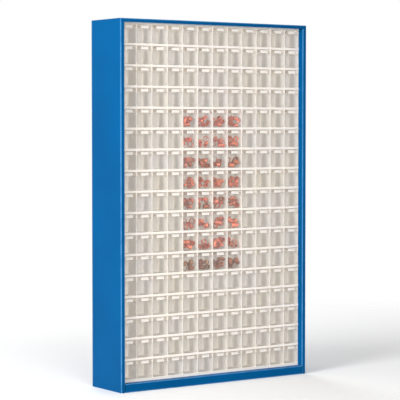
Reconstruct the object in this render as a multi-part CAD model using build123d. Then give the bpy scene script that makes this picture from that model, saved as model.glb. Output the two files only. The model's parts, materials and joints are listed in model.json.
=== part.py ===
from build123d import *
from math import asin, degrees, hypot, radians, sin, sqrt
import os

# Parts bin cabinet: a folded steel carcass whose open front is filled with
# plastic housings of six tilting bins each. Millimetres, +Z up, the front
# faces -Y, and the origin is the middle of the footprint on the floor.

# ---- carcass ----
cabinet_width = 1250.0
cabinet_height = 2000.0
cabinet_depth = 300.0
sheet = 1.5                # steel thickness of the folded panels
side_flange = 25.0         # front flange of each side panel; the housings fill the width between them
top_flange = 20.0          # front flange of the top panel
plinth_height = 48.0       # front flange of the bottom panel, floor to shelf
plinth_lip = 20.0          # foot of the plinth, folded back along the floor
front_recess = 38.0        # from the carcass front back to the bins' fronts
return_overlap = 15.0      # how far the side returns run past the bins' fronts
rear_flange = 20.0         # flanges that the back panel is riveted to

# ---- housings, six cells each, stacked in rows ----
rows = 17
modules_across = 2
bins_per_module = 6
module_play = 0.4          # gap between neighbouring housings and at the returns
housing_wall = 3.0         # top and bottom walls
housing_back = 2.5
divider = 4.0
rim_height = 6.0           # front rims along the top and bottom of each housing
rim_depth = 4.0
block_gap = 9.0            # filler height between the bottom panel and the lowest row
top_gap = 2.0              # between the highest row and the edge of the top flange

# ---- tilting bins ----
bin_wall = 2.0
bin_side_play = 2.0        # between a bin's side wall and the divider
front_gap = 1.0            # half the gap between neighbouring bin fronts
wing_gap = 0.5             # between a bin's front and the dividers behind it
sill_gap = 1.0             # between a bin's bottom and the housing's lower rim
slot_height = 20.0         # left open above a bin's front, on both sides of its tab
bin_depth = 86.0           # along the floor of the bin
back_gap = 6.5             # between a bin's floor and the housing's back wall
toe_chamfer = 5.0          # front bottom edge, clears the rim as the bin tilts
pivot_back = 8.0           # pivot axis behind the bin's front face
pivot_up = 7.0             # pivot axis above the bin's bottom
pin_diameter = 5.0
pin_play = 0.1             # radial play of a pin in its hole
pin_end_gap = 0.3          # each pin ends this far short of the divider's middle
wing_start = 10.0          # the front widens over the dividers above this height
tilt_open = 45.0           # degrees, where the bin's back corner catches the upper rim
stop_margin = 0.5          # degrees left between the open bin and the rim
ceiling_gap = 0.7          # between the swinging back corner and the housing's top
tab_width = 46.0
tab_gap = 5.0              # between the top of the finger tab and the upper rim
tab_lip = 3.0              # the tab's grip edge, its height and how far it stands out of the front

# ---- uprights, fillers and fasteners ----
upright_sheet = 2.0
upright_depth = 32.0
end_upright_width = 50.0
centre_upright_width = 80.0
filler_depth = 80.0
screw_inset = 25.0         # housing screws, in from the housing's end
screw_drop = 16.0          # below the housing's upper face, behind the bins' tops
screw_diameter = 4.0
screw_head = 9.0
screw_head_height = 3.0
screw_tail = 6.0           # thread behind the upright's web
hole_play = 0.2            # radial clearance of screws and rivets in their holes
rivet_diameter = 4.0
rivet_head = 8.0
rivet_head_height = 1.2
rivets_up = 9              # along each side of the back panel
rivets_across = 5          # along its top and bottom
rivet_end_gap = 120.0      # from a side row to the first rivet across

# ---- which bins are single nodes: the stocked block in the middle ----
single_rows = range(5, 13)
single_columns = range(5, 9)

# ---- places that follow from the sizes ----
half_width = cabinet_width / 2
front = -cabinet_depth / 2
back_outside = cabinet_depth / 2 - rivet_head_height
back_inside = back_outside - sheet
lid_underside = cabinet_height - sheet
block_width = cabinet_width - 2 * side_flange
block_half = block_width / 2
module_width = block_width / modules_across
columns = modules_across * bins_per_module
bin_pitch = block_width / columns
bin_front = front + front_recess
module_depth = bin_depth + back_gap + housing_back
module_back = bin_front + module_depth
block_bottom = plinth_height + block_gap
block_top = cabinet_height - top_flange - top_gap
row_pitch = (block_top - block_bottom) / rows
body_half = (bin_pitch - divider) / 2 - bin_side_play
front_half = bin_pitch / 2 - front_gap
bin_bottom = rim_height + sill_gap          # above the housing's lower face
front_height = row_pitch - rim_height - slot_height - bin_bottom
tab_top = front_height + slot_height - tab_gap
pivot_y = bin_front + pivot_back
pin_half = bin_pitch / 2 - pin_end_gap
screw_height = row_pitch - screw_drop       # above the housing's lower face

# seen from the pivot: the inner edge of the upper rim, and the bin's upper back corner,
# which swings just under the housing's top and catches on that edge when open
rim_radius = hypot(pivot_back - rim_depth, row_pitch - rim_height - bin_bottom - pivot_up)
rim_angle = 90 + degrees(asin((pivot_back - rim_depth) / rim_radius))
corner_radius = row_pitch - housing_wall - ceiling_gap - bin_bottom - pivot_up
corner_rise = rim_radius * sin(radians(rim_angle - tilt_open - stop_margin))
corner_y = pivot_back + sqrt(corner_radius ** 2 - corner_rise ** 2)
corner_z = pivot_up + corner_rise


def block(x0, x1, y0, y1, z0, z1):
    """A box between two corners."""
    return Pos(x0, y0, z0) * Box(x1 - x0, y1 - y0, z1 - z0, align=(Align.MIN,) * 3)


def prism(points, x0, x1):
    """An outline of (y, z) points, drawn out along X."""
    outline = Face(Wire.make_polygon([(x0, y, z) for y, z in points]))
    return Solid.extrude(outline, Vector(x1 - x0, 0, 0))


def rod_x(x0, x1, y, z, diameter):
    return Pos((x0 + x1) / 2, y, z) * Rot(0, 90, 0) * Cylinder(diameter / 2, x1 - x0)


def rod_y(x, y0, y1, z, diameter):
    return Pos(x, (y0 + y1) / 2, z) * Rot(90, 0, 0) * Cylinder(diameter / 2, y1 - y0)


def one_solid(shape):
    solids = shape.solids()
    assert len(solids) == 1, len(solids)
    return solids[0]


def row_base(row):
    """Height of the lower face of a row's housings; row 1 is the top one."""
    return block_top - row * row_pitch


def column_x(column):
    """Middle of a bin; column 1 is the left one."""
    return (column - (columns + 1) / 2) * bin_pitch


# ---- housing and bin, at a row's lower face ----

def make_housing():
    """One housing, its middle at x = 0 and its lower face at z = 0."""
    half = module_width / 2
    shell = block(-half + module_play / 2, half - module_play / 2, bin_front, module_back, 0, row_pitch)
    cuts = []
    for cell in range(bins_per_module):
        middle = (cell - (bins_per_module - 1) / 2) * bin_pitch
        left, right = middle - (bin_pitch - divider) / 2, middle + (bin_pitch - divider) / 2
        cuts.append(block(left, right, bin_front + rim_depth, module_back - housing_back,
                          housing_wall, row_pitch - housing_wall))
        cuts.append(block(left, right, bin_front - 1, bin_front + rim_depth + 1,
                          rim_height, row_pitch - rim_height))
    # the dividers stand back behind the bins' fronts
    cuts.append(block(-half - 1, half + 1, bin_front - 1, bin_front + bin_wall + wing_gap,
                      rim_height, row_pitch - rim_height))
    cuts.append(rod_x(-half - 1, half + 1, pivot_y, bin_bottom + pivot_up, pin_diameter + 2 * pin_play))
    for x in (-half + screw_inset, half - screw_inset):
        cuts.append(rod_y(x, module_back - housing_back - 1, module_back + 1, screw_height,
                          screw_diameter + 2 * hole_play))
    return one_solid(shell - cuts)


def bin_outline(wall, top):
    """Side view of a bin, drawn in by the wall: floor, leaning back, top edge and toe."""
    lean = (bin_depth - corner_y) / corner_z
    back_inset = wall * sqrt(1 + lean ** 2)
    toe = toe_chamfer + wall * (sqrt(2) - 1)
    over = top - corner_z
    return [(wall, toe), (toe, wall), (bin_depth - back_inset - lean * wall, wall),
            (corner_y - back_inset - lean * over, top), (wall, top)]


def make_bin():
    """One tilting bin, its middle at x = 0, its front at bin_front and its bottom at z = 0."""
    outside = bin_outline(0, corner_z)
    outside[-1] = (0, front_height)
    body = prism(outside, -body_half, body_half)
    hollow = prism(bin_outline(bin_wall, front_height + 5), -body_half + bin_wall, body_half - bin_wall)
    wings = block(-front_half, front_half, 0, bin_wall, wing_start, front_height)
    tab = prism([(0, front_height - 1), (bin_wall, front_height - 1), (bin_wall, tab_top),
                 (-tab_lip, tab_top), (-tab_lip, tab_top - tab_lip), (0, tab_top - tab_lip)],
                -tab_width / 2, tab_width / 2)
    pins = rod_x(-pin_half, -body_half, pivot_back, pivot_up, pin_diameter) \
        + rod_x(body_half, pin_half, pivot_back, pivot_up, pin_diameter)
    return Pos(0, bin_front, 0) * one_solid(body - hollow + wings + tab + pins)


# ---- carcass ----

def rivet_places():
    """Rivets of the back panel: down both sides, then along the top and bottom."""
    side_x = half_width - sheet - rear_flange / 2
    reach = cabinet_height - 2 * rear_flange - plinth_height
    places = [(side * side_x, plinth_height + rear_flange + reach * step / (rivets_up - 1))
              for side in (-1, 1) for step in range(rivets_up)]
    inner = side_x - rivet_end_gap
    for height in (plinth_height - sheet - rear_flange / 2, lid_underside - rear_flange / 2):
        places += [(-inner + 2 * inner * step / (rivets_across - 1), height) for step in range(rivets_across)]
    return places


def rivet_holes():
    return [rod_y(x, back_inside - sheet - 1, back_outside + 1, z, rivet_diameter + 2 * hole_play)
            for x, z in rivet_places()]


def make_side_panel(side):
    """A side wall with its front flange, the return beside the bins and a rear flange."""
    outer, inner = half_width, half_width - sheet
    wall = block(inner, outer, front, back_inside, 0, lid_underside)
    flange = block(block_half, outer, front, front + sheet, 0, cabinet_height - top_flange)
    side_return = block(block_half, block_half + sheet, front, bin_front + return_overlap,
                        plinth_height, cabinet_height - top_flange)
    rear = block(inner - rear_flange, outer, back_inside - sheet, back_inside, plinth_height, lid_underside)
    panel = wall + flange + side_return + rear
    if side < 0:
        panel = panel.mirror(Plane.YZ)
    return one_solid(panel - rivet_holes())


def make_top_panel():
    """The lid, which covers the side panels, with front and rear flanges between them."""
    between = half_width - sheet
    lid = block(-half_width, half_width, front, back_inside, lid_underside, cabinet_height)
    flange = block(-between, between, front, front + sheet, cabinet_height - top_flange, cabinet_height)
    rear_half = between - rear_flange
    rear = block(-rear_half, rear_half, back_inside - sheet, back_inside,
                 lid_underside - rear_flange, cabinet_height)
    return one_solid(lid + flange + rear - rivet_holes())


def make_bottom_panel():
    """The bottom shelf, folded down in front as the plinth and back along the floor."""
    between = half_width - sheet
    shelf = block(-between, between, front + sheet, back_inside, plinth_height - sheet, plinth_height)
    plinth = block(-block_half, block_half, front, front + sheet, 0, plinth_height)
    lip = block(-block_half, block_half, front, front + plinth_lip, 0, sheet)
    rear = block(-between, between, back_inside - sheet, back_inside,
                 plinth_height - sheet - rear_flange, plinth_height)
    return one_solid(shelf + plinth + lip + rear - rivet_holes())


def make_back_panel():
    panel = block(-half_width, half_width, back_inside, back_outside, 0, cabinet_height)
    return one_solid(panel - rivet_holes())


def screw_places():
    """Two screws for each housing, one near each end."""
    places = []
    for row in range(1, rows + 1):
        for module in range(modules_across):
            left = -block_half + module * module_width
            for x in (left + screw_inset, left + module_width - screw_inset):
                places.append((x, row_base(row) + screw_height))
    return places


def make_upright(middle, width):
    """A channel from the bottom panel to the lid, its web against the housings' backs."""
    left, right = middle - width / 2, middle + width / 2
    channel = block(left, right, module_back, module_back + upright_depth, plinth_height, lid_underside) \
        - block(left + upright_sheet, right - upright_sheet, module_back + upright_sheet,
                module_back + upright_depth + 1, plinth_height - 1, lid_underside + 1)
    holes = [rod_y(x, module_back - 1, module_back + upright_sheet + 1, z, screw_diameter + 2 * hole_play)
             for x, z in screw_places() if left < x < right]
    return one_solid(channel - holes)


def make_filler(z0, z1):
    """A channel strip that closes the gap above or below the stack of housings."""
    half = block_half - module_play / 2
    rear = bin_front + filler_depth
    strip = block(-half, half, bin_front, rear, z0, z1)
    web_low = z0 if z0 == block_top else z1 - sheet
    hollow_low, hollow_high = (web_low + sheet, z1 + 1) if z0 == block_top else (z0 - 1, web_low)
    hollow = block(-half - 1, half + 1, bin_front + sheet, rear - sheet, hollow_low, hollow_high)
    return one_solid(strip - hollow)


def make_screw(x, z):
    seat = module_back - housing_back
    head = rod_y(x, seat - screw_head_height, seat, z, screw_head)
    shank = rod_y(x, seat, module_back + upright_sheet + screw_tail, z, screw_diameter)
    return one_solid(head + shank)


def make_rivet(x, z):
    head = rod_y(x, back_outside, back_outside + rivet_head_height, z, rivet_head)
    shank = rod_y(x, back_inside - sheet - rivet_head_height, back_outside, z, rivet_diameter)
    return one_solid(head + shank)


# ---- the nodes ----

def save(node, solids):
    shape = solids[0] if len(solids) == 1 else Compound(children=solids)
    export_step(shape, f"parts/{node}.step")


os.makedirs("parts", exist_ok=True)

save("side_panel_left", [make_side_panel(-1)])
save("side_panel_right", [make_side_panel(1)])
save("top_panel", [make_top_panel()])
save("bottom_panel", [make_bottom_panel()])
save("back_panel", [make_back_panel()])
end_x = block_half - end_upright_width / 2
save("end_uprights", [make_upright(x, end_upright_width) for x in (-end_x, end_x)])
save("centre_upright", [make_upright(0, centre_upright_width)])
save("filler_strips", [make_filler(plinth_height, block_bottom), make_filler(block_top, lid_underside)])
save("module_screws", [make_screw(x, z) for x, z in screw_places()])
save("back_rivets", [make_rivet(x, z) for x, z in rivet_places()])

housing = make_housing()
module_x = [(module - (modules_across - 1) / 2) * module_width for module in range(modules_across)]
save("module_housings", [Pos(x, 0, row_base(row)) * housing for row in range(1, rows + 1) for x in module_x])

bin_shape = make_bin()
for row in range(1, rows + 1):
    height = row_base(row) + bin_bottom
    single = [column for column in single_columns if row in single_rows]
    for column in single:
        save(f"bin_r{row:02d}_c{column:02d}", [Pos(column_x(column), 0, height) * bin_shape])
    others = [column for column in range(1, columns + 1) if column not in single]
    save(f"bank_row_{row:02d}", [Pos(column_x(column), 0, height) * bin_shape for column in others])

print("pivot of row 1 at y, z:", pivot_y, row_base(1) + bin_bottom + pivot_up)
print("back edge of a bin at y, z:", round(corner_y, 2), round(corner_z, 2), "from its front and bottom")
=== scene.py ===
import math

import bmesh
import bpy
import numpy as np
from mathutils import Euler, Matrix, Vector
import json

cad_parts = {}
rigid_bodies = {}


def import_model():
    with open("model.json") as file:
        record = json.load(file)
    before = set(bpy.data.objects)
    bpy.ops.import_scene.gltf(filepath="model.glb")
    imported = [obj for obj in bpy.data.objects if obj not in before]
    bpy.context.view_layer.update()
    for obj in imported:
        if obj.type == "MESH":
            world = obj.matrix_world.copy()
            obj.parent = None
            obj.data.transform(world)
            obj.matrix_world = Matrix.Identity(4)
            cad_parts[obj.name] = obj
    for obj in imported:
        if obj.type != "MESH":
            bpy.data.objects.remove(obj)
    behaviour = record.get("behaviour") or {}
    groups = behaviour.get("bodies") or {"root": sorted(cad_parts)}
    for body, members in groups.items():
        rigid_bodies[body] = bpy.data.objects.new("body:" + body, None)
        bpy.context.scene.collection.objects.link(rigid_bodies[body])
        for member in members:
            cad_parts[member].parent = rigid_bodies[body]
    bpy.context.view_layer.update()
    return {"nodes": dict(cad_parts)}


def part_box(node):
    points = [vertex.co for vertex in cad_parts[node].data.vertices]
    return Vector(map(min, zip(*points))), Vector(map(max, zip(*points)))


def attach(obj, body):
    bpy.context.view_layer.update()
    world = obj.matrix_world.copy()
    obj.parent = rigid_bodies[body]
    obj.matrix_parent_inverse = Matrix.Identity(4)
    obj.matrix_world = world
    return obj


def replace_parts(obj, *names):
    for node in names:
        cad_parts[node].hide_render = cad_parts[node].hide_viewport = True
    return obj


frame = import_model()
print("cabinet frame loaded,", len(frame["nodes"]), "nodes")

mm = 0.001
scene = bpy.context.scene
scene.view_settings.view_transform = "Standard"


def paint(red, green, blue):  # a colour as it shows on screen, 0 to 255
    shares = [value / 255 for value in (red, green, blue)]
    return tuple(s / 12.92 if s < 0.04045 else ((s + 0.055) / 1.055) ** 2.4 for s in shares) + (1.0,)


stack = {"rows": 17, "housingsAcross": 2, "binsEach": 6, "binPitch": 100 * mm, "rowPitch": 113 * mm}
housingWidth = stack["binsEach"] * stack["binPitch"]
stackLow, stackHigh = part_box("module_housings")

# ---- camera ----
shot = {"place": (-5.2966, -7.6395, 1.4416), "turn": 34.68, "tilt": -2.64, "lens": 149.5}

camera = bpy.data.objects.new("camera", bpy.data.cameras.new("camera"))
scene.collection.objects.link(camera)
scene.camera = camera
camera.location = shot["place"]
camera.rotation_euler = (math.radians(90 + shot["tilt"]), 0, -math.radians(shot["turn"]))
camera.data.lens = shot["lens"]
camera.data.sensor_width = 36
camera.data.clip_end = 200


# ---- node trees, by short hand ----

def newTree(name, kind, inputs, outputs):
    tree = bpy.data.node_groups.new(name, kind)
    for label, socket, value in inputs:
        made = tree.interface.new_socket(label, in_out="INPUT", socket_type="NodeSocket" + socket)
        if value is not None:
            made.default_value = value
    for label, socket in outputs:
        tree.interface.new_socket(label, in_out="OUTPUT", socket_type="NodeSocket" + socket)
    return tree, tree.nodes.new("NodeGroupInput").outputs, tree.nodes.new("NodeGroupOutput").inputs


# settings are the node's own properties; plugs are values or sockets for its inputs, by name or number
def put(tree, kind, plugs=None, **settings):
    node = tree.nodes.new(kind)
    for name, value in settings.items():
        setattr(node, name, value)
    for name, value in (plugs or {}).items():
        if isinstance(value, bpy.types.NodeSocket):
            tree.links.new(value, node.inputs[name])
        else:
            node.inputs[name].default_value = value
    return node


def blend(tree, share, first, second):
    return put(tree, "ShaderNodeMix", {0: share, 6: first, 7: second}, data_type="RGBA").outputs[2]


def remap(tree, value, fromLow, fromHigh, toLow, toHigh):
    plugs = {"Value": value, "From Min": fromLow, "From Max": fromHigh, "To Min": toLow, "To Max": toHigh}
    return put(tree, "ShaderNodeMapRange", plugs).outputs[0]


def reckon(tree, operation, *values):
    return put(tree, "ShaderNodeMath", dict(enumerate(values)), operation=operation).outputs[0]


def giveMaterial(tree, geometry, material, **selection):
    plugs = {"Geometry": geometry, "Material": material, **selection}
    return put(tree, "GeometryNodeSetMaterial", plugs).outputs[0]


def nameOf(tree, label):  # a modifier's input goes by the socket's identifier
    return next(item.identifier for item in tree.interface.items_tree
                if item.name == label and item.in_out == "INPUT")


def runTree(piece, tree, values):
    modifier = piece.modifiers.new(tree.name, "NODES")
    modifier.node_group = tree
    for label, value in values.items():
        modifier[nameOf(tree, label)] = value


# ---- finishes ----

def coatGrain():  # the fine orange peel of a powder coat, or the matt grain of a mould
    tree, inputs, outputs = newTree(
        "coatGrain", "ShaderNodeTree",
        [("Grain Scale", "Float", 900.0), ("Wave Scale", "Float", 9.0), ("Wave Share", "Float", 0.3)],
        [("Height", "Float"), ("Cloud", "Float")])
    place = put(tree, "ShaderNodeTexCoord").outputs["Object"]
    grain = put(tree, "ShaderNodeTexNoise",
                {"Vector": place, "Scale": inputs["Grain Scale"], "Detail": 2.0,
                 "Roughness": 0.5}).outputs["Fac"]
    wave = put(tree, "ShaderNodeTexNoise",
               {"Vector": place, "Scale": inputs["Wave Scale"], "Detail": 3.0,
                "Roughness": 0.55}).outputs["Fac"]
    height = put(tree, "ShaderNodeMix", {0: inputs["Wave Share"], 2: grain, 3: wave})
    tree.links.new(height.outputs[0], outputs["Height"])
    tree.links.new(wave, outputs["Cloud"])
    return tree


def edgeWear():  # thin, paler coat on folds and cut edges, from the mask painted on the mesh; partly wear and partly a painted highlight along the folds
    tree, inputs, outputs = newTree(
        "edgeWear", "ShaderNodeTree",
        [("Coat", "Color", None), ("Thin Coat", "Color", None), ("Amount", "Float", 0.8),
         ("Patches", "Float", 30.0)],
        [("Colour", "Color"), ("Wear", "Float")])
    painted = put(tree, "ShaderNodeAttribute", attribute_name="edgeWear").outputs["Fac"]
    place = put(tree, "ShaderNodeTexCoord").outputs["Object"]
    patch = put(tree, "ShaderNodeTexNoise",
                {"Vector": place, "Scale": inputs["Patches"], "Detail": 3.0}).outputs["Fac"]
    wearAndHighlight = reckon(tree, "MULTIPLY", painted, remap(tree, patch, 0.3, 0.6, 0.55, 1))
    share = reckon(tree, "MULTIPLY", wearAndHighlight, inputs["Amount"])
    tree.links.new(blend(tree, share, inputs["Coat"], inputs["Thin Coat"]), outputs["Colour"])
    tree.links.new(share, outputs["Wear"])
    return tree


def settledDust():  # a faint film on faces that look up
    tree, inputs, outputs = newTree(
        "settledDust", "ShaderNodeTree",
        [("Clean", "Color", None), ("Dust", "Color", None), ("Amount", "Float", 0.15)],
        [("Colour", "Color"), ("Film", "Float")])
    facing = put(tree, "ShaderNodeNewGeometry").outputs["Normal"]
    upward = put(tree, "ShaderNodeSeparateXYZ", {"Vector": facing}).outputs["Z"]
    place = put(tree, "ShaderNodeTexCoord").outputs["Object"]
    specks = put(tree, "ShaderNodeTexNoise", {"Vector": place, "Scale": 60.0, "Detail": 5.0}).outputs["Fac"]
    film = reckon(tree, "MULTIPLY", remap(tree, upward, 0.4, 0.95, 0, 1), specks)
    share = reckon(tree, "MULTIPLY", film, inputs["Amount"])
    tree.links.new(blend(tree, share, inputs["Clean"], inputs["Dust"]), outputs["Colour"])
    tree.links.new(share, outputs["Film"])
    return tree


grainGroup, wearAndHighlightGroup, dustGroup = coatGrain(), edgeWear(), settledDust()
dustColour = paint(206, 200, 190)


def newFinish(name, **values):  # a Principled BSDF and what it starts with
    finish = bpy.data.materials.new(name)
    finish.use_nodes = True
    tree = finish.node_tree
    tree.nodes.clear()
    surface = put(tree, "ShaderNodeBsdfPrincipled", values)
    output = put(tree, "ShaderNodeOutputMaterial", {"Surface": surface.outputs["BSDF"]})
    output.target = "ALL"
    return finish, tree, surface


def useGroup(tree, group, **plugs):
    node = put(tree, "ShaderNodeGroup", node_tree=group)
    for name, value in plugs.items():
        label = "".join(" " + c if c.isupper() else c for c in name).strip()
        label = label[0].upper() + label[1:]
        if isinstance(value, bpy.types.NodeSocket):
            tree.links.new(value, node.inputs[label])
        else:
            node.inputs[label].default_value = value
    return node.outputs


def addBump(tree, surface, height, strength, distance):
    bump = put(tree, "ShaderNodeBump", {"Height": height, "Strength": strength, "Distance": distance})
    tree.links.new(bump.outputs["Normal"], surface.inputs["Normal"])


# the colour under its dust, the gloss between two values, and a bump of a strength and depth
def dress(tree, surface, grain, colour, dust, gloss, bump):
    dusty = useGroup(tree, dustGroup, clean=colour, dust=dustColour, amount=dust)
    tree.links.new(dusty["Colour"], surface.inputs["Base Color"])
    tree.links.new(remap(tree, grain["Cloud"], 0.3, 0.7, *gloss), surface.inputs["Roughness"])
    addBump(tree, surface, grain["Height"], *bump)


# the fold colour is a paler thin coat and also a painted highlight along the folds
blueCoat = {"deep": paint(0, 78, 130), "light": paint(0, 85, 139), "fold": paint(70, 132, 186), "gloss": 0.4}


def bluePowderCoat():
    finish, tree, surface = newFinish("bluePowderCoat", **{"Specular IOR Level": 0.03})
    grain = useGroup(tree, grainGroup, grainScale=950.0, waveScale=2.2, waveShare=0.25)
    coat = blend(tree, remap(tree, grain["Cloud"], 0.35, 0.65, 0, 1), blueCoat["deep"], blueCoat["light"])
    wornAndHighlit = useGroup(tree, wearAndHighlightGroup, coat=coat, thinCoat=blueCoat["fold"], amount=0.85, patches=24.0)
    gloss = blueCoat["gloss"], blueCoat["gloss"] + 0.08
    dress(tree, surface, grain, wornAndHighlit["Colour"], 0.1, gloss, (0.35, 0.25 * mm))
    return finish


def whitePowderCoat():
    finish, tree, surface = newFinish("whitePowderCoat", **{"Specular IOR Level": 0.3})
    grain = useGroup(tree, grainGroup, grainScale=950.0, waveScale=3.0, waveShare=0.2)
    coat = blend(tree, grain["Cloud"], paint(240, 235, 229), paint(247, 243, 238))
    dress(tree, surface, grain, coat, 0.15, (0.4, 0.5), (0.3, 0.2 * mm))
    return finish


housingPlastic = {
    "cool": paint(243, 237, 232), "warm": paint(246, 239, 229), "gloss": 0.42,
    "glow": 0.15,                          # painted light: a glow of the cells' insides, standing in for light coming through the thin walls into the cells
    "cellFrom": -0.108, "cellFull": -0.1,  # behind the front rims, along Y
    "topGlow": 0.25,                       # share of the painted glow kept under the top of each cell, a painted shade under the rim
    "topFrom": 0.2, "topTo": 0.34,         # in row heights below the top
}


def mouldedWhite():
    finish, tree, surface = newFinish("mouldedWhite", **{"Specular IOR Level": 0.35})
    grain = useGroup(tree, grainGroup, grainScale=1400.0, waveScale=6.0, waveShare=0.35)
    cloud = remap(tree, grain["Cloud"], 0.35, 0.65, 0, 1)
    body = blend(tree, cloud, housingPlastic["cool"], housingPlastic["warm"])
    gloss = housingPlastic["gloss"], housingPlastic["gloss"] + 0.1
    dress(tree, surface, grain, body, 0.25, gloss, (0.25, 0.15 * mm))
    # painted light: the housing glows inside its cells, and less under the top of each cell as painted shade
    place = put(tree, "ShaderNodeTexCoord").outputs["Object"]
    deep, high = put(tree, "ShaderNodeSeparateXYZ", {"Vector": place}).outputs[1:]
    rowsDown = remap(tree, high, stackHigh.z, stackLow.z, 0, stack["rows"])
    inRow = reckon(tree, "FRACT", rowsDown)
    lower = remap(tree, inRow, housingPlastic["topFrom"], housingPlastic["topTo"],
                  housingPlastic["topGlow"], 1)
    inside = remap(tree, deep, housingPlastic["cellFrom"], housingPlastic["cellFull"],
                   0, housingPlastic["glow"])
    tree.links.new(body, surface.inputs["Emission Color"])
    tree.links.new(reckon(tree, "MULTIPLY", inside, lower), surface.inputs["Emission Strength"])
    return finish


binPlastic = {"cool": paint(232, 230, 227), "warm": paint(236, 230, 216), "facing": 0.05, "grazing": 0.3}


def clearPlastic():  # clear, a little milky, and each bin a shade of its own
    finish, tree, surface = newFinish("clearPlastic", **{"Specular IOR Level": 0.6})
    grain = useGroup(tree, grainGroup, grainScale=220.0, waveScale=14.0, waveShare=0.6)
    tone = put(tree, "ShaderNodeAttribute", attribute_name="binTone").outputs["Fac"]
    body = blend(tree, tone, binPlastic["cool"], binPlastic["warm"])
    dress(tree, surface, grain, body, 0.35, (0.16, 0.26), (0.12, 0.2 * mm))
    rim = put(tree, "ShaderNodeLayerWeight", {"Blend": 0.35}).outputs["Facing"]
    milk = remap(tree, grain["Cloud"], 0.3, 0.7, 0.9, 1.1)
    cover = remap(tree, rim, 0.0, 1.0, binPlastic["facing"], binPlastic["grazing"])
    tree.links.new(reckon(tree, "MULTIPLY", cover, milk), surface.inputs["Alpha"])
    return finish


def frostedTab():
    finish, tree, surface = newFinish("frostedTab", **{"Specular IOR Level": 0.4})
    grain = useGroup(tree, grainGroup, grainScale=1200.0, waveScale=20.0, waveShare=0.2)
    body = blend(tree, grain["Cloud"], paint(236, 231, 224), paint(242, 237, 229))
    dress(tree, surface, grain, body, 0.1, (0.35, 0.45), (0.2, 0.1 * mm))
    return finish


def zincCoat(name, bright, dull, flake, gloss):  # galvanised spangle on sheet, finer on plated screws
    finish, tree, surface = newFinish(name, Metallic=0.92)
    place = put(tree, "ShaderNodeTexCoord").outputs["Object"]
    cells = put(tree, "ShaderNodeTexVoronoi", {"Vector": place, "Scale": flake}).outputs["Color"]
    shade = put(tree, "ShaderNodeSeparateColor", {"Color": cells}).outputs[0]
    grain = useGroup(tree, grainGroup, grainScale=1600.0, waveScale=12.0, waveShare=0.4)
    coat = blend(tree, shade, dull, bright)
    dusty = useGroup(tree, dustGroup, clean=coat, dust=dustColour, amount=0.3)
    tree.links.new(dusty["Colour"], surface.inputs["Base Color"])
    tree.links.new(remap(tree, shade, 0, 1, gloss, gloss + 0.18), surface.inputs["Roughness"])
    addBump(tree, surface, grain["Height"], 0.2, 0.1 * mm)
    return finish


# drawn copper or brass, a little tarnished, each fitting its own tone
def fittingMetal(name, bright, dull, dark):
    finish, tree, surface = newFinish(name, Metallic=0.5)
    tone = put(tree, "ShaderNodeAttribute", attribute_name="fittingTone").outputs["Fac"]
    grain = useGroup(tree, grainGroup, grainScale=700.0, waveScale=55.0, waveShare=0.6)
    fresh = blend(tree, tone, dull, bright)
    stained = blend(tree, remap(tree, grain["Cloud"], 0.52, 0.68, 0, 0.7), fresh, dark)
    tree.links.new(stained, surface.inputs["Base Color"])
    tree.links.new(remap(tree, grain["Cloud"], 0.3, 0.7, 0.28, 0.5), surface.inputs["Roughness"])
    addBump(tree, surface, grain["Height"], 0.25, 0.15 * mm)
    return finish


finishes = {
    "blue": bluePowderCoat(),
    "white": whitePowderCoat(),
    "housing": mouldedWhite(),
    "bin": clearPlastic(),
    "tab": frostedTab(),
    "zincSheet": zincCoat("zincSheet", paint(214, 217, 220), paint(170, 175, 180), 90.0, 0.32),
    "zincScrew": zincCoat("zincScrew", paint(222, 221, 214), paint(188, 186, 178), 900.0, 0.25),
    "copper": fittingMetal("copper", paint(252, 132, 104), paint(172, 96, 52), paint(70, 24, 16)),
    "brass": fittingMetal("brass", paint(206, 150, 96), paint(160, 104, 62), paint(80, 46, 28)),
}
print("finishes made,", len(finishes))


# ---- pieces, meshes and their edges ----

def newPiece(name, mesh, material=None):
    piece = bpy.data.objects.new(name, mesh)
    scene.collection.objects.link(piece)
    if material:
        mesh.materials.append(finishes[material])
    return piece


def meshOf(bm, name):
    mesh = bpy.data.meshes.new(name)
    bm.to_mesh(mesh)
    bm.free()
    return mesh


def makePlain(piece, smoothUnder=35):  # what the modifiers make becomes the piece's own mesh
    graph = bpy.context.evaluated_depsgraph_get()
    mesh = bpy.data.meshes.new_from_object(piece.evaluated_get(graph), preserve_all_data_layers=True,
                                           depsgraph=graph)
    piece.modifiers.clear()
    piece.data = mesh
    mesh.shade_smooth()
    mesh.set_sharp_from_angle(angle=math.radians(smoothUnder))
    return piece


def roundEdges(piece, width, segments=2, above=50):
    bevel = piece.modifiers.new("roundEdges", "BEVEL")
    bevel.width, bevel.segments = width, segments
    bevel.limit_method, bevel.angle_limit = "ANGLE", math.radians(above)
    bevel.miter_outer = "MITER_ARC"
    bevel.use_clamp_overlap = True


# a path of corners in a plane, with an arc at each inner corner; the mask of wear and painted highlight is 1
# along the arcs
def foldedPath(corners, radius, steps=4, fade=2 * mm):
    corners = [Vector(corner) for corner in corners]
    path = [(corners[0], 0.0)]
    for before, corner, after in zip(corners, corners[1:], corners[2:]):
        inward, outward = (before - corner).normalized(), (after - corner).normalized()
        half = inward.angle(outward) / 2
        cut = radius / math.tan(half)
        centre = corner + (inward + outward).normalized() * (radius / math.sin(half))
        start, end = corner + inward * cut - centre, corner + outward * cut - centre
        sweep = start.angle(end)
        if fade:
            path.append((corner + inward * (cut + fade), 0.0))
        for step in range(steps + 1):
            share = step / steps
            turned = start * math.sin((1 - share) * sweep) + end * math.sin(share * sweep)
            path.append((centre + turned / math.sin(sweep), 1.0))
        if fade:
            path.append((corner + outward * (cut + fade), 0.0))
    path.append((corners[-1], 0.0))
    return path


sheetSteel = {"thickness": 1.5 * mm, "bend": 4 * mm, "bendSteps": 5, "cutEdge": 0.3 * mm}


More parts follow.
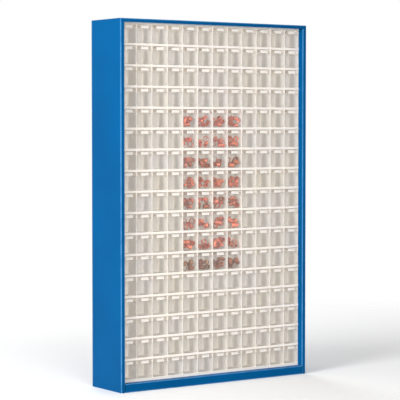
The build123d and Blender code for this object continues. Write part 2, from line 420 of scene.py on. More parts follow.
# a folded sheet: corners run round its outer face, spans give each leg and each bend its two ends
def foldSheet(name, corners, spans, place, mirrored=False):
    steps = sheetSteel["bendSteps"]
    path = foldedPath(corners, sheetSteel["bend"], steps)
    span = []
    for corner in range(len(corners) - 2):
        span += [spans[2 * corner]] + [spans[2 * corner + 1]] * (steps + 2)
        span[-1] = spans[2 * corner + 2]
        span[-steps - 2] = spans[2 * corner]
    span.append(spans[-1])
    levels = sorted({end for pair in spans for end in pair})
    bm = bmesh.new()
    wearAndHighlight = bm.verts.layers.float.new("edgeWear")
    made = {}

    def vertex(step, level):
        if (step, level) not in made:
            (across, up), wornAndHighlit = path[step]
            made[step, level] = bm.verts.new(place(across, up, level))
            made[step, level][wearAndHighlight] = wornAndHighlit
        return made[step, level]

    for step, (low, high) in enumerate(span):
        for bottom, top in zip(levels, levels[1:]):
            if low <= bottom and top <= high:
                bm.faces.new((vertex(step, bottom), vertex(step, top), vertex(step + 1, top),
                              vertex(step + 1, bottom)))
    if mirrored:
        bmesh.ops.scale(bm, vec=(-1, 1, 1), verts=bm.verts)
        bmesh.ops.reverse_faces(bm, faces=bm.faces)
    piece = newPiece(name, meshOf(bm, name), "blue")
    solid = piece.modifiers.new("thickness", "SOLIDIFY")
    solid.thickness, solid.offset, solid.use_even_offset = sheetSteel["thickness"], -1, True
    roundEdges(piece, sheetSteel["cutEdge"], 1)
    return makePlain(piece)


# ---- carcass ----
wallLow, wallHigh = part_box("side_panel_right")
lidHigh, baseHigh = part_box("top_panel")[1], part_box("bottom_panel")[1]
backLow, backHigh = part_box("back_panel")

carcass = {
    "topFlange": 20 * mm,
    "rearFlange": 20 * mm,
    "returnDepth": 53 * mm,  # from the front back along the bins
    "plinthLip": 20 * mm,
    "seam": 0.3 * mm,        # gap where two flanges meet
}
front, rear = wallLow.y, wallHigh.y
side, top, shelf = lidHigh.x, lidHigh.z, baseHigh.z
opening = wallLow.x          # half the width between the side returns
frontTop = top - carcass["topFlange"]
skin = sheetSteel["thickness"]


def alongZ(across, up, level):
    return across, up, level


def alongX(across, up, level):
    return level, across, up


def makeSidePanels():
    corners = [(side - skin - carcass["rearFlange"], rear), (side, rear), (side, front), (opening, front),
               (opening, front + carcass["returnDepth"])]
    wall, flange = (0, top - skin), (0, frontTop)
    behind, beside = (shelf, top - skin), (shelf, frontTop)
    spans = [behind, behind, wall, wall, flange, beside, beside]
    for name, mirrored in (("side_panel_left", True), ("side_panel_right", False)):
        panel = foldSheet(name + "_sheet", corners, spans, alongZ, mirrored)
        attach(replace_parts(panel, name), "cabinet")


def makeTopPanel():
    between = side - sheetSteel["bend"] + carcass["seam"]
    behind = side - skin - carcass["rearFlange"] - carcass["seam"]
    corners = [(front, frontTop), (front, top), (rear, top), (rear, top - skin - carcass["rearFlange"])]
    spans = [(-between, between), (-between, between), (-side, side), (-behind, behind), (-behind, behind)]
    lid = foldSheet("top_panel_sheet", corners, spans, alongX)
    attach(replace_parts(lid, "top_panel"), "cabinet")


def makeBottomPanel():
    plinth = opening - carcass["seam"]
    inner = side - skin - carcass["seam"]
    corners = [(front + carcass["plinthLip"], 0), (front, 0), (front, shelf), (rear, shelf),
               (rear, shelf - skin - carcass["rearFlange"])]
    spans = [(-plinth, plinth)] * 4 + [(-inner, inner)] * 3
    base = foldSheet("bottom_panel_sheet", corners, spans, alongX)
    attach(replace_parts(base, "bottom_panel"), "cabinet")


def makeBackPanel():
    low, high = Vector(backLow), Vector(backHigh)
    bm = bmesh.new()
    bmesh.ops.create_cube(bm, size=1)
    for vert in bm.verts:
        vert.co = [low[i] if vert.co[i] < 0 else high[i] for i in range(3)]
    bm.verts.layers.float.new("edgeWear")
    back = newPiece("back_panel_sheet", meshOf(bm, "back_panel_sheet"), "blue")
    roundEdges(back, sheetSteel["cutEdge"] * 1.5, 2)
    makePlain(back)
    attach(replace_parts(back, "back_panel"), "cabinet")


makeSidePanels()
makeTopPanel()
makeBottomPanel()
makeBackPanel()
plainSheets = {"filler_strips": "white", "end_uprights": "zincSheet", "centre_upright": "zincSheet"}
for node, material in plainSheets.items():
    frame["nodes"][node].data.materials.clear()
    frame["nodes"][node].data.materials.append(finishes[material])
print("carcass folded")


# ---- what repeats ----

def latticeTree():  # the piece's own mesh at each place of an upright lattice
    tree, inputs, outputs = newTree(
        "lattice", "GeometryNodeTree",
        [("Geometry", "Geometry", None), ("First", "Vector", (0, 0, 0)), ("Across", "Int", 1),
         ("Pitch Across", "Float", 0.1), ("Up", "Int", 1), ("Pitch Up", "Float", 0.1),
         ("Material", "Material", None)],
        [("Geometry", "Geometry")])
    stepAcross = put(tree, "ShaderNodeCombineXYZ", {"X": inputs["Pitch Across"]}).outputs[0]
    stepUp = put(tree, "ShaderNodeCombineXYZ", {"Z": inputs["Pitch Up"]}).outputs[0]
    row = put(tree, "GeometryNodeMeshLine",
              {"Count": inputs["Across"], "Start Location": inputs["First"], "Offset": stepAcross}).outputs[0]
    column = put(tree, "GeometryNodeMeshLine", {"Count": inputs["Up"], "Offset": stepUp}).outputs[0]
    places = put(tree, "GeometryNodeInstanceOnPoints", {"Points": row, "Instance": column}).outputs[0]
    places = put(tree, "GeometryNodeRealizeInstances", {"Geometry": places}).outputs[0]
    copies = put(tree, "GeometryNodeInstanceOnPoints",
                 {"Points": places, "Instance": inputs["Geometry"]}).outputs[0]
    solid = put(tree, "GeometryNodeRealizeInstances", {"Geometry": copies}).outputs[0]
    tree.links.new(giveMaterial(tree, solid, inputs["Material"]), outputs["Geometry"])
    return tree


def binRowTree():  # bins side by side, with a stretch left out, a little play and a tone for each
    tree, inputs, outputs = newTree(
        "binRow", "GeometryNodeTree",
        [("Geometry", "Geometry", None), ("First", "Vector", (0, 0, 0)), ("Bins", "Int", 1),
         ("Pitch", "Float", 0.1), ("Gap From", "Int", 0), ("Gap To", "Int", 0),
         ("Side Play", "Float", 0.0), ("Seed", "Int", 0),
         ("Bin Material", "Material", None), ("Tab Material", "Material", None)],
        [("Geometry", "Geometry")])
    number = put(tree, "GeometryNodeInputIndex").outputs[0]
    step = put(tree, "ShaderNodeCombineXYZ", {"X": inputs["Pitch"]}).outputs[0]
    row = put(tree, "GeometryNodeMeshLine",
              {"Count": inputs["Bins"], "Start Location": inputs["First"], "Offset": step}).outputs[0]
    low = reckon(tree, "MULTIPLY", inputs["Side Play"], -1.0)
    play = put(tree, "FunctionNodeRandomValue",
               {2: low, 3: inputs["Side Play"], "ID": number, "Seed": inputs["Seed"]},
               data_type="FLOAT").outputs[1]
    shift = put(tree, "ShaderNodeCombineXYZ", {"X": play}).outputs[0]
    row = put(tree, "GeometryNodeSetPosition", {"Geometry": row, "Offset": shift}).outputs[0]
    before = put(tree, "FunctionNodeCompare", {2: number, 3: inputs["Gap From"]},
                 data_type="INT", operation="LESS_THAN").outputs[0]
    after = put(tree, "FunctionNodeCompare", {2: number, 3: inputs["Gap To"]},
                data_type="INT", operation="GREATER_EQUAL").outputs[0]
    kept = put(tree, "FunctionNodeBooleanMath", {0: before, 1: after}, operation="OR").outputs[0]
    copies = put(tree, "GeometryNodeInstanceOnPoints",
                 {"Points": row, "Selection": kept, "Instance": inputs["Geometry"]}).outputs[0]
    tone = put(tree, "FunctionNodeRandomValue", {2: 0.0, 3: 1.0, "ID": number, "Seed": inputs["Seed"]},
               data_type="FLOAT").outputs[1]
    toned = put(tree, "GeometryNodeStoreNamedAttribute",
                {"Geometry": copies, "Name": "binTone", "Value": tone},
                data_type="FLOAT", domain="INSTANCE").outputs[0]
    solid = put(tree, "GeometryNodeRealizeInstances", {"Geometry": toned}).outputs[0]
    clear = giveMaterial(tree, solid, inputs["Bin Material"])
    isTab = put(tree, "GeometryNodeInputNamedAttribute", {"Name": "isTab"}, data_type="BOOLEAN").outputs[0]
    tabbed = giveMaterial(tree, clear, inputs["Tab Material"], Selection=isTab)
    tree.links.new(tabbed, outputs["Geometry"])
    return tree


lattice, binRow = latticeTree(), binRowTree()


# a solid made of filled cells between sorted cuts along X, Y and Z
def solidOfCells(cuts, filled):
    sides = {
        (-1, 0, 0): ((0, 0, 0), (0, 0, 1), (0, 1, 1), (0, 1, 0)),
        (1, 0, 0): ((1, 0, 0), (1, 1, 0), (1, 1, 1), (1, 0, 1)),
        (0, -1, 0): ((0, 0, 0), (1, 0, 0), (1, 0, 1), (0, 0, 1)),
        (0, 1, 0): ((0, 1, 0), (0, 1, 1), (1, 1, 1), (1, 1, 0)),
        (0, 0, -1): ((0, 0, 0), (0, 1, 0), (1, 1, 0), (1, 0, 0)),
        (0, 0, 1): ((0, 0, 1), (1, 0, 1), (1, 1, 1), (0, 1, 1)),
    }
    counts = [len(cut) - 1 for cut in cuts]
    bm, made = bmesh.new(), {}

    def inside(cell):
        return all(0 <= i < count for i, count in zip(cell, counts)) and filled(*cell)

    def vertex(cell, corner):
        key = tuple(i + c for i, c in zip(cell, corner))
        if key not in made:
            made[key] = bm.verts.new([cut[i] for cut, i in zip(cuts, key)])
        return made[key]

    for cell in np.ndindex(*counts):
        if not inside(cell):
            continue
        for facing, ring in sides.items():
            if not inside(tuple(i + f for i, f in zip(cell, facing))):
                bm.faces.new([vertex(cell, corner) for corner in ring])
    return bm


def addRod(bm, start, end, radius, sides):
    axis = Vector(end) - Vector(start)
    turn = axis.to_track_quat("Z", "Y").to_matrix().to_4x4()
    middle = Matrix.Translation((Vector(start) + Vector(end)) / 2)
    bmesh.ops.create_cone(bm, cap_ends=True, segments=sides, radius1=radius, radius2=radius,
                          depth=axis.length, matrix=middle @ turn)


# ---- housings of six cells ----
stackFront, stackBack = stackLow.y, stackHigh.y

housing = {
    "endPlay": 0.2 * mm,
    "wall": 3 * mm,
    "back": 2.5 * mm,
    "divider": 4 * mm,
    "rimHeight": 6 * mm,
    "rimDepth": 4 * mm,
    "dividerSetback": 2.5 * mm,
    "edge": 0.7 * mm,
    "pivotBack": 8 * mm,      # pin holes behind the front and above the lower face
    "pivotUp": 14 * mm,
    "pinHole": 2.6 * mm,
    "screwInset": 25 * mm,
    "screwUp": 97 * mm,
    "screwHole": 2.2 * mm,
    "holeSides": 14,
    "drillPast": 10 * mm,     # how far a drill runs out of the plastic
}


def rowBase(row):  # height of the lower face of a row; row 1 is the top one
    return stackHigh.z - row * stack["rowPitch"]


def columnX(column):
    return (column - (stack["housingsAcross"] * stack["binsEach"] + 1) / 2) * stack["binPitch"]


def housingTemplate():
    half = housingWidth / 2
    xCuts = [-half + housing["endPlay"]]
    for cell in range(stack["binsEach"]):
        middle = -half + (cell + 0.5) * stack["binPitch"]
        reach = (stack["binPitch"] - housing["divider"]) / 2
        xCuts += [middle - reach, middle + reach]
    xCuts.append(half - housing["endPlay"])
    yCuts = [stackFront, stackFront + housing["dividerSetback"], stackFront + housing["rimDepth"],
             stackBack - housing["back"], stackBack]
    tall, wall, rim = stack["rowPitch"], housing["wall"], housing["rimHeight"]
    zCuts = [0, wall, rim, tall - rim, tall - wall, tall]

    def filled(x, y, z):
        isBack, isPlate, isRim = y == 3, z in (0, 4), y < 2 and z in (1, 3)
        isDivider = x % 2 == 0 and (z in (1, 3) or y > 0)
        return isBack or isPlate or isRim or isDivider

    shell = newPiece("housing", meshOf(solidOfCells((xCuts, yCuts, zCuts), filled), "housing"))
    roundEdges(shell, housing["edge"])
    makePlain(shell)
    bm = bmesh.new()
    pin = (stackFront + housing["pivotBack"], housing["pivotUp"])
    past, sides = housing["drillPast"], housing["holeSides"]
    addRod(bm, (-half - past, *pin), (half + past, *pin), housing["pinHole"], sides)
    for x in (-half + housing["screwInset"], half - housing["screwInset"]):
        addRod(bm, (x, stackBack - past, housing["screwUp"]), (x, stackBack + past, housing["screwUp"]),
               housing["screwHole"], sides)
    drill = newPiece("drill", meshOf(bm, "drill"))
    cut = shell.modifiers.new("holes", "BOOLEAN")
    cut.operation, cut.object, cut.solver = "DIFFERENCE", drill, "EXACT"
    makePlain(shell)
    bpy.data.objects.remove(drill)
    return shell


# one mesh repeated on a lattice rides as one piece
def repeated(name, template, material, first, across, pitchAcross, up, pitchUp):
    piece = newPiece(name, template)
    runTree(piece, lattice, {"First": first, "Across": across, "Pitch Across": pitchAcross, "Up": up,
                             "Pitch Up": pitchUp, "Material": finishes[material]})
    return makePlain(piece)


def perHousing(name, template, material):  # at each housing of the stack
    first = (-(stack["housingsAcross"] - 1) * housingWidth / 2, 0, rowBase(stack["rows"]))
    return repeated(name, template, material, first, stack["housingsAcross"], housingWidth,
                    stack["rows"], stack["rowPitch"])


def makeHousings():
    template = housingTemplate()
    housings = perHousing("housings", template.data, "housing")
    bpy.data.objects.remove(template)
    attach(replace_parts(housings, "module_housings"), "cabinet")


makeHousings()
print("housings stacked")


# ---- screws and rivets ----

# a turned shape about Y: (radius, place along Y) from one pole to the other
def turnedShape(profile, sides):
    bm = bmesh.new()
    rings = []
    for radius, along in profile:
        if radius == 0:
            rings.append([bm.verts.new((0, along, 0))])
            continue
        angles = [2 * math.pi * i / sides for i in range(sides)]
        rings.append([bm.verts.new((radius * math.cos(a), along, radius * math.sin(a))) for a in angles])
    for low, high in zip(rings, rings[1:]):
        for i in range(sides):
            j = (i + 1) % sides
            ring = [low[i % len(low)], low[j % len(low)], high[j % len(high)], high[i % len(high)]]
            bm.faces.new(list(dict.fromkeys(ring)))
    bmesh.ops.recalc_face_normals(bm, faces=bm.faces)
    return bm


screw = {
    "headRadius": 4.5 * mm, "headHeight": 3 * mm, "shankRadius": 2 * mm, "tail": 8 * mm, "tip": 2 * mm,
    "recess": 1.6 * mm, "sides": 10,
}
rivet = {
    "headRadius": 4 * mm, "headHeight": 1.2 * mm, "shankRadius": 2 * mm, "shankDepth": 4 * mm,
    "mandrel": 0.9 * mm, "sides": 14,
    "up": 9, "across": 5,      # along each side, along the top and the bottom
    "endGap": 120 * mm,        # from a side row to the first one across
}


def makeScrews():
    seat = stackBack - housing["back"]
    crown, tip = seat - screw["headHeight"], stackBack + screw["tail"]
    r = screw["headRadius"]
    profile = [(0, crown + screw["recess"]), (0.22 * r, crown + 0.9 * screw["recess"]), (0.42 * r, crown),
               (0.7 * r, crown + 0.3 * mm), (0.95 * r, seat - 1.2 * mm), (r, seat - 0.5 * mm), (r, seat),
               (screw["shankRadius"], seat), (screw["shankRadius"], tip - screw["tip"]), (0, tip)]
    half = housingWidth / 2 - housing["screwInset"]
    pair = turnedShape(profile, screw["sides"])
    copy = bmesh.ops.duplicate(pair, geom=pair.verts[:] + pair.edges[:] + pair.faces[:])["geom"]
    moved = [v for v in copy if isinstance(v, bmesh.types.BMVert)]
    bmesh.ops.translate(pair, verts=pair.verts, vec=(-half, 0, housing["screwUp"]))
    bmesh.ops.translate(pair, verts=moved, vec=(2 * half, 0, 0))
    screws = perHousing("housing_screws", meshOf(pair, "screwPair"), "zincScrew")
    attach(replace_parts(screws, "module_screws"), "cabinet")


def makeRivets():
    r, height, shank = rivet["headRadius"], rivet["headHeight"], rivet["shankRadius"]
    face = backHigh.y
    foot = face - rivet["shankDepth"]
    profile = [(0, foot), (shank, foot), (shank, face), (r, face),
               (0.95 * r, face + 0.5 * height), (0.7 * r, face + 0.88 * height), (0.34 * r, face + height),
               (rivet["mandrel"], face + 0.45 * height), (0, face + 0.5 * height)]
    low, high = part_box("back_rivets")
    sideX, lowRow, highRow = high.x - r, low.z + r, high.z - r
    columnLow, columnHigh = shelf + carcass["rearFlange"], top - carcass["rearFlange"]
    inner = sideX - rivet["endGap"]
    rows, along = rivet["up"], rivet["across"]
    pitchUp, pitchAlong = (columnHigh - columnLow) / (rows - 1), 2 * inner / (along - 1)
    sets = [("back_rivets_sides", (-sideX, 0, columnLow), 2, 2 * sideX, rows, pitchUp),
            ("back_rivets_ends", (-inner, 0, lowRow), along, pitchAlong, 2, highRow - lowRow)]
    for name, *places in sets:
        mesh = meshOf(turnedShape(profile, rivet["sides"]), name)
        rivets = repeated(name, mesh, "zincScrew", *places)
        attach(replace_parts(rivets, "back_rivets"), "cabinet")


makeScrews()
makeRivets()
print("screws and rivets set")


# ---- tilting bins ----
tiltBin = {
    "half": 46 * mm,           # half the body's width
    "frontHalf": 49 * mm,
    "wall": 2 * mm,
    "depth": 86 * mm,
    "backTop": (74.73 * mm, 75.04 * mm),
    "frontHeight": 80 * mm,
    "toe": 5 * mm,
    "heel": 4 * mm,
    "wingFrom": 10 * mm,
    "cornerRadius": 1.2 * mm,
    "pin": 2.5 * mm,
    "pinEnd": 49.7 * mm,
    "pinSides": 8,
    "rooted": 0.5 * mm,        # how deep a pin or the tab starts in the body
    "sidePlay": 0.25 * mm,     # each bin sits this much off the middle at most
    "tabHalf": 23 * mm,
    "tabTop": 95 * mm,
    "tabLip": 3 * mm,          # grip edge, its height and how far it stands out
    "tabRound": 0.8 * mm,
    "lift": 7 * mm,            # bin's bottom above the housing's lower face
}


# a closed outline of (y, z) drawn out along X
def addPrism(bm, outline, low, high):
    ends = [[bm.verts.new((x, y, z)) for y, z in outline] for x in (low, high)]
    count = len(outline)
    faces = [bm.faces.new(ends[0]), bm.faces.new(ends[1][::-1])]
    for i in range(count):
        j = (i + 1) % count
        faces.append(bm.faces.new((ends[0][j], ends[0][i], ends[1][i], ends[1][j])))
    return faces


def binBody(bm):
    wall, half, wide = tiltBin["wall"], tiltBin["half"], tiltBin["frontHalf"]
    backY, backZ = tiltBin["backTop"]
    lean = (tiltBin["depth"] - backY) / backZ
    inset = wall * math.hypot(1, lean)
    slope = (backZ - tiltBin["frontHeight"]) / backY
    heel = tiltBin["heel"]

    def outline(inward):
        toe = tiltBin["toe"] + inward * (math.sqrt(2) - 1) if inward else tiltBin["toe"]
        backInset = inset if inward else 0
        foot = tiltBin["depth"] - backInset - lean * inward
        crown = backY - backInset
        return [(inward, tiltBin["frontHeight"] + slope * inward), (inward, tiltBin["wingFrom"]),
                (inward, toe), (toe, inward), (foot - heel, inward),
                (foot - 0.3 * heel, inward + 0.28 * heel),
                (foot - lean * heel, inward + heel), (crown, tiltBin["frontHeight"] + slope * crown)]

    rings = {}
    for key, inward, x in (("outLeft", 0, -half), ("outRight", 0, half), ("inLeft", wall, -half + wall),
                           ("inRight", wall, half - wall)):
        rings[key] = [bm.verts.new((x, y, z)) for y, z in outline(inward)]
    last = len(rings["outLeft"]) - 1
    for i in range(last):
        a, b = rings["outLeft"], rings["outRight"]
        bm.faces.new((a[i], b[i], b[i + 1], a[i + 1]))
        a, b = rings["inLeft"], rings["inRight"]
        bm.faces.new((a[i], a[i + 1], b[i + 1], b[i]))
    bm.faces.new((rings["outLeft"][0], rings["inLeft"][0], rings["inRight"][0], rings["outRight"][0]))
    bm.faces.new((rings["outLeft"][last], rings["outRight"][last],
                  rings["inRight"][last], rings["inLeft"][last]))
    for outer, inner, sign in (("outLeft", "inLeft", -1), ("outRight", "inRight", 1)):
        out, low = rings[outer], rings[inner]
        # the wing: the front reaches out over the divider
        rim = [bm.verts.new((sign * half, wall, z)) for z in
               (tiltBin["frontHeight"] + slope * wall, tiltBin["wingFrom"])]
        bm.faces.new((out[0], rim[0], out[last], low[last], low[0]))
        bm.faces.new(low)
        bm.faces.new(rim + out[1:])
        cut = tiltBin["cornerRadius"]
        tip = [(wide - cut, 0), (wide, cut), (wide, wall)]
        upper = [bm.verts.new((sign * x, y, tiltBin["frontHeight"] + slope * y)) for x, y in tip]
        lower = [bm.verts.new((sign * x, y, tiltBin["wingFrom"])) for x, y in tip]
        chains = [[out[0], *upper, rim[0]], [out[1], *lower, rim[1]]]
        bm.faces.new(chains[0])
        bm.faces.new(chains[1])
        for i in range(len(chains[0]) - 1):
            bm.faces.new((chains[0][i], chains[0][i + 1], chains[1][i + 1], chains[1][i]))


def binTemplate():
    bm = bmesh.new()
    isTab = bm.faces.layers.bool.new("isTab")
    binBody(bm)
    pivot = (housing["pivotBack"], housing["pivotUp"] - tiltBin["lift"])
    for sign in (-1, 1):
        root, end = sign * (tiltBin["half"] - tiltBin["rooted"]), sign * tiltBin["pinEnd"]
        addRod(bm, (root, *pivot), (end, *pivot), tiltBin["pin"], tiltBin["pinSides"])
    wall, high, lip = tiltBin["wall"], tiltBin["tabTop"], tiltBin["tabLip"]
    foot = tiltBin["frontHeight"] - tiltBin["rooted"]
    corners = [(wall, foot), (wall, high), (-lip, high), (-lip, high - lip), (0, high - lip), (0, foot)]
    points = [tuple(point) for point, _ in foldedPath(corners, tiltBin["tabRound"], 2, 0)]
    for face in addPrism(bm, points[::-1], -tiltBin["tabHalf"], tiltBin["tabHalf"]):
        face[isTab] = True
    bmesh.ops.recalc_face_normals(bm, faces=bm.faces)
    bmesh.ops.translate(bm, verts=bm.verts, vec=(0, stackFront, 0))
    return meshOf(bm, "tiltBin")


filled = {"rows": range(5, 13), "columns": range(5, 9)}
binMesh = binTemplate()
perRow = stack["housingsAcross"] * stack["binsEach"]


def makeBins(name, node, column, bins, row, gap=(0, 0), seed=0):
    piece = newPiece(name, binMesh.copy())
    height = rowBase(row) + tiltBin["lift"]
    runTree(piece, binRow, {"First": (columnX(column), 0, height), "Bins": bins, "Pitch": stack["binPitch"],
                            "Gap From": gap[0], "Gap To": gap[1],
                            "Side Play": tiltBin["sidePlay"], "Seed": seed,
                            "Bin Material": finishes["bin"], "Tab Material": finishes["tab"]})
    makePlain(piece)
    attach(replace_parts(piece, node), node)


for row in range(1, stack["rows"] + 1):
    gap = (0, 0)
    if row in filled["rows"]:
        gap = (filled["columns"][0] - 1, filled["columns"][-1])
        for column in filled["columns"]:
            node = f"bin_r{row:02d}_c{column:02d}"
            makeBins(f"clear_{node}", node, column, 1, row, seed=100 * row + column)
    makeBins(f"clear_bank_row_{row:02d}", f"bank_row_{row:02d}", 1, perRow, row, gap, seed=row)
print("bins hung")


# ---- pipe fittings in the filled bins ----
fittings = {
    "seed": 7,
    "wall": 1.3 * mm,
    "sides": 12,
    "nutSides": 6,
    "each": 18,                # dropped into a bin, as far as they fit under its rim
    "tries": 14,
    "nesting": 0.86,           # how close the round bodies of two fittings come
    "clear": 1 * mm,           # of the bin's walls
    "heapTop": 68 * mm,
    "heapSpread": 28 * mm,
    "heapDepth": 24 * mm,      # middle of the heap behind the bin's front
}


# a tube along a path in the XZ plane, its outer and inner radius given at each point
def addTube(bm, path, outer, inner, sides):
    rings = []
    for i, place in enumerate(path):
        along = (path[min(i + 1, len(path) - 1)] - path[max(i - 1, 0)]).normalized()
        across = along.cross(Vector((0, 1, 0)))
        turns = [(math.cos(2 * math.pi * k / sides), math.sin(2 * math.pi * k / sides)) for k in range(sides)]
        rings.append([[bm.verts.new(place + radius * (across * c + Vector((0, s, 0)))) for c, s in turns]
                      for radius in (outer[i], inner[i])])
    for low, high in zip(rings, rings[1:]):
        for k in range(sides):
            n = (k + 1) % sides
            bm.faces.new((low[0][k], low[0][n], high[0][n], high[0][k]))
            bm.faces.new((low[1][k], high[1][k], high[1][n], low[1][n]))
    for ring, step in ((rings[0], 1), (rings[-1], -1)):
        for k in range(sides):
            quad = (ring[0][k], ring[1][k], ring[1][(k + 1) % sides], ring[0][(k + 1) % sides])
            bm.faces.new(quad[::step])


def straight(stations):
    return [Vector((0, 0, z)) for z, _ in stations], [radius for _, radius in stations]


def bent(radius, socket, bore, collar):  # a right-angled elbow with a socket at each end
    arc = [math.radians(15 * step) for step in range(7)]
    path = [Vector((radius * math.cos(a) - radius * 0.7, 0, radius * math.sin(a) - radius * 0.7))
            for a in arc]
    start, end = path[0] - Vector((0, 0, socket)), path[-1] - Vector((socket, 0, 0))
    path = [start, path[0] - Vector((0, 0, 1 * mm))] + path + [path[-1] - Vector((1 * mm, 0, 0)), end]
    return path, [collar, collar] + [bore] * 7 + [collar, collar]


def fittingShapes():  # name: tubes of (path, outer radii), brass or not
    small = bent(13 * mm, 9 * mm, 8.5 * mm, 10 * mm)
    large = bent(18 * mm, 12 * mm, 12 * mm, 13.5 * mm)
    coupling = straight([(-17 * mm, 12 * mm), (-1.5 * mm, 12 * mm), (0, 10.8 * mm), (1.5 * mm, 12 * mm),
                         (17 * mm, 12 * mm)])
    reducer = straight([(-17 * mm, 14 * mm), (-1 * mm, 14 * mm), (6 * mm, 9.5 * mm), (19 * mm, 9.5 * mm)])
    collar = straight([(-6 * mm, 16 * mm), (-4 * mm, 17 * mm), (4 * mm, 17 * mm), (6 * mm, 16 * mm)])
    run = straight([(-23 * mm, 12 * mm), (-12 * mm, 12 * mm), (-11 * mm, 11 * mm), (11 * mm, 11 * mm),
                    (12 * mm, 12 * mm), (23 * mm, 12 * mm)])
    branch = ([Vector((x * mm, 0, 0)) for x in (7, 12, 13, 24)],
              [radius * mm for radius in (10.5, 10.5, 12, 12)])
    nut = straight([(-9 * mm, 13 * mm), (-7.5 * mm, 14.5 * mm), (7.5 * mm, 14.5 * mm), (9 * mm, 13 * mm)])
    return {"collar": ([collar], False), "coupling": ([coupling], False), "elbowLarge": ([large], False),
            "elbowSmall": ([small], False), "nut": ([nut], True), "reducer": ([reducer], False),
            "tee": ([run, branch], False)}


def fittingTemplates(shapes):
    shelfOfFittings = bpy.data.collections.new("fittings")
    for name, (tubes, isBrass) in shapes.items():
        bm = bmesh.new()
        brassFace = bm.faces.layers.bool.new("isBrass")
        for path, radii in tubes:
            bores = [radius - fittings["wall"] for radius in radii]
            addTube(bm, path, radii, bores, fittings["nutSides" if isBrass else "sides"])
        for face in bm.faces:
            face[brassFace] = isBrass
        bmesh.ops.recalc_face_normals(bm, faces=bm.faces)
        shelfOfFittings.objects.link(bpy.data.objects.new(name, meshOf(bm, name)))
    return shelfOfFittings


def heapTree():  # a fitting at each point, by the kind, turn and tone stored there
    tree, inputs, outputs = newTree(
        "heap", "GeometryNodeTree",
        [("Geometry", "Geometry", None), ("Fittings", "Collection", None), ("Copper", "Material", None),
         ("Brass", "Material", None)], [("Geometry", "Geometry")])

    def stored(name, kind):
        return put(tree, "GeometryNodeInputNamedAttribute", {"Name": name}, data_type=kind).outputs[0]

    parts = put(tree, "GeometryNodeCollectionInfo",
                {"Collection": inputs["Fittings"], "Separate Children": True,
                 "Reset Children": True}).outputs[0]
    copies = put(tree, "GeometryNodeInstanceOnPoints",
                 {"Points": inputs["Geometry"], "Instance": parts, "Pick Instance": True,
                  "Instance Index": stored("kind", "INT"),
                  "Rotation": stored("turn", "FLOAT_VECTOR")}).outputs[0]
    solid = put(tree, "GeometryNodeRealizeInstances", {"Geometry": copies}).outputs[0]
    coppery = giveMaterial(tree, solid, inputs["Copper"])
    mixed = giveMaterial(tree, coppery, inputs["Brass"], Selection=stored("isBrass", "BOOLEAN"))
    tree.links.new(mixed, outputs["Geometry"])
    return tree


# each fitting comes to rest at the lowest of a few tries
def dropHeap(shapes, kinds, dullest, brightest, rng):
    names, rested, heap = list(shapes), np.empty((0, 4)), []
    for _ in range(fittings["each"]):
        kind = names.index(rng.choice(kinds))
        tubes = shapes[names[kind]][0]
        balls = np.array([[*place, radius] for path, radii in tubes for place, radius in zip(path, radii)])
        best = None
        for _ in range(fittings["tries"]):
            turn = rng.uniform(0, 2 * math.pi, 3)
            body = balls.copy()
            body[:, :3] = balls[:, :3] @ np.array(Euler(turn).to_matrix()).T
            low, high = (body[:, :3] - body[:, 3:]).min(0), (body[:, :3] + body[:, 3:]).max(0)
            inside = tiltBin["half"] - tiltBin["wall"] - fittings["clear"]
            x = np.clip(rng.normal(0, fittings["heapSpread"]), -inside - low[0], inside - high[0])
            nearest = tiltBin["wall"] + fittings["clear"] - low[1]
            farthest = tiltBin["backTop"][0] - 2 * tiltBin["wall"] - high[1]
            y = np.clip(rng.normal(fittings["heapDepth"], fittings["heapDepth"] / 2), nearest, farthest)
            body[:, :2] += (x, y)
            lift = tiltBin["wall"] - low[2]
            if len(rested):
                apart = body[:, None, :2] - rested[None, :, :2]
                gaps = np.hypot(apart[..., 0], apart[..., 1])
                reach = (body[:, None, 3] + rested[None, :, 3]) * fittings["nesting"]
                over = rested[None, :, 2] + np.sqrt(np.maximum(reach**2 - gaps**2, 0)) - body[:, None, 2]
                lift = max(lift, over[gaps < reach].max(initial=lift))
            if best is None or lift + high[2] < best[0]:
                body[:, 2] += lift
                best = (lift + high[2], (x, y, lift), turn, body)
        if best[0] < fittings["heapTop"]:
            rested = np.vstack([rested, best[3]])
            heap.append((best[1], best[2], kind, rng.uniform(dullest, brightest)))
    return heap


# what is kept in each filled row, and how dull (0) to bright (1) its copper is
stocked = {
    5: (("elbowLarge", "elbowSmall", "tee"), 0.6, 1), 6: (("elbowSmall", "elbowLarge", "collar"), 0.5, 1),
    7: (("coupling", "collar", "elbowLarge"), 0.1, 0.7), 8: (("elbowLarge", "tee", "elbowSmall"), 0.5, 1),
    9: (("reducer", "coupling", "elbowSmall"), 0.2, 0.9), 10: (("collar", "tee", "reducer"), 0.4, 1),
    11: (("coupling", "reducer", "elbowLarge"), 0.5, 1), 12: (("nut", "elbowSmall", "coupling"), 0, 0.3),
}


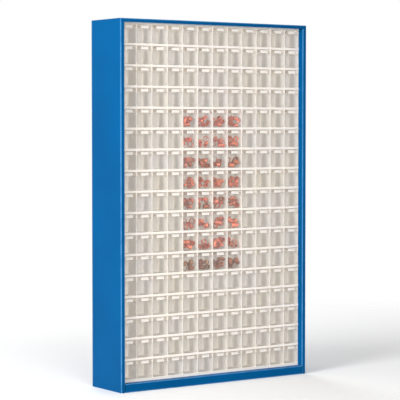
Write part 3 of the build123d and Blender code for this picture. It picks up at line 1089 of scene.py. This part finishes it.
def fillBins():
    shapes = fittingShapes()
    templates, heapOf = fittingTemplates(shapes), heapTree()
    rng = np.random.default_rng(fittings["seed"])
    for row in filled["rows"]:
        for column in filled["columns"]:
            heap = dropHeap(shapes, *stocked[row], rng)
            name = f"contents_r{row:02d}_c{column:02d}"
            mesh = bpy.data.meshes.new(name)
            corner = Vector((columnX(column), stackFront, rowBase(row) + tiltBin["lift"]))
            mesh.from_pydata([corner + Vector(place) for place, *_ in heap], [], [])
            _, turns, chosen, tones = zip(*heap)
            for label, kind, field, values in (("turn", "FLOAT_VECTOR", "vector", np.ravel(turns)),
                                               ("kind", "INT", "value", chosen),
                                               ("fittingTone", "FLOAT", "value", tones)):
                mesh.attributes.new(label, kind, "POINT").data.foreach_set(field, values)
            contents = newPiece(name, mesh)
            runTree(contents, heapOf,
                    {"Fittings": templates, "Copper": finishes["copper"], "Brass": finishes["brass"]})
            makePlain(contents)
            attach(contents, f"bin_r{row:02d}_c{column:02d}")
    for template in list(templates.objects):
        bpy.data.objects.remove(template)
    bpy.data.collections.remove(templates)


fillBins()
print("bins filled")


# ---- floor, backdrop and light ----

studio = {
    "world": 0.4, "lookAt": (0, 0, 1), "lampSize": 3.0,
    "lamps": {  # place and watts
        "key": ((-6.2, -1.9, 2.6), 450), "fill": ((-2.6, -6.6, 2.4), 205), "back": ((1.5, 5.5, 3.2), 150),
    },
    "floorColour": (0.8, 0.8, 0.79, 1), "floorRadius": 5,
    "fadeFrom": 1.6, "fadeTo": 4.5,  # the floor fades into the white backdrop
}


def seenDirectly(tree):  # 1 for what is looked at, also by reflection, 0 for the light it casts
    rays = put(tree, "ShaderNodeLightPath").outputs
    seen = reckon(tree, "MAXIMUM", rays["Is Camera Ray"], rays["Is Glossy Ray"])
    return reckon(tree, "MAXIMUM", seen, rays["Is Transmission Ray"])


def makeFloor():
    finish = bpy.data.materials.new("paleFloor")
    finish.use_nodes = True
    tree = finish.node_tree
    tree.nodes.clear()
    place = put(tree, "ShaderNodeTexCoord").outputs["Object"]
    away = put(tree, "ShaderNodeVectorMath", {0: place}, operation="LENGTH").outputs["Value"]
    fade = remap(tree, away, studio["fadeFrom"], studio["fadeTo"], 0, 1)
    pale = blend(tree, seenDirectly(tree), studio["floorColour"], (1, 1, 1, 1))
    matt = put(tree, "ShaderNodeBsdfDiffuse", {"Color": pale})
    clear = put(tree, "ShaderNodeBsdfTransparent")
    mixed = put(tree, "ShaderNodeMixShader", {0: fade, 1: matt.outputs[0], 2: clear.outputs[0]})
    put(tree, "ShaderNodeOutputMaterial", {"Surface": mixed.outputs[0]})
    bm = bmesh.new()
    bmesh.ops.create_circle(bm, cap_ends=True, segments=64, radius=studio["floorRadius"])
    floor = newPiece("floor", meshOf(bm, "floor"))
    floor.data.materials.append(finish)


def makeLamp(name, place, watts):
    light = bpy.data.objects.new(name, bpy.data.lights.new(name, "AREA"))
    scene.collection.objects.link(light)
    light.data.shape, light.data.size, light.data.energy = "DISK", studio["lampSize"], watts
    light.location = place
    light.rotation_euler = (Vector(studio["lookAt"]) - Vector(place)).to_track_quat("-Z", "Y").to_euler()


def makeStudio():
    world = bpy.data.worlds.new("studio")
    scene.world = world
    world.use_nodes = True
    tree = world.node_tree
    tree.nodes.clear()
    strength = remap(tree, seenDirectly(tree), 0, 1, studio["world"], 1.0)
    sky = put(tree, "ShaderNodeBackground", {"Color": (1, 1, 1, 1), "Strength": strength})
    put(tree, "ShaderNodeOutputWorld", {"Surface": sky.outputs[0]})
    for name, (place, watts) in studio["lamps"].items():
        makeLamp(name, place, watts)


makeFloor()
makeStudio()
print("studio lit")
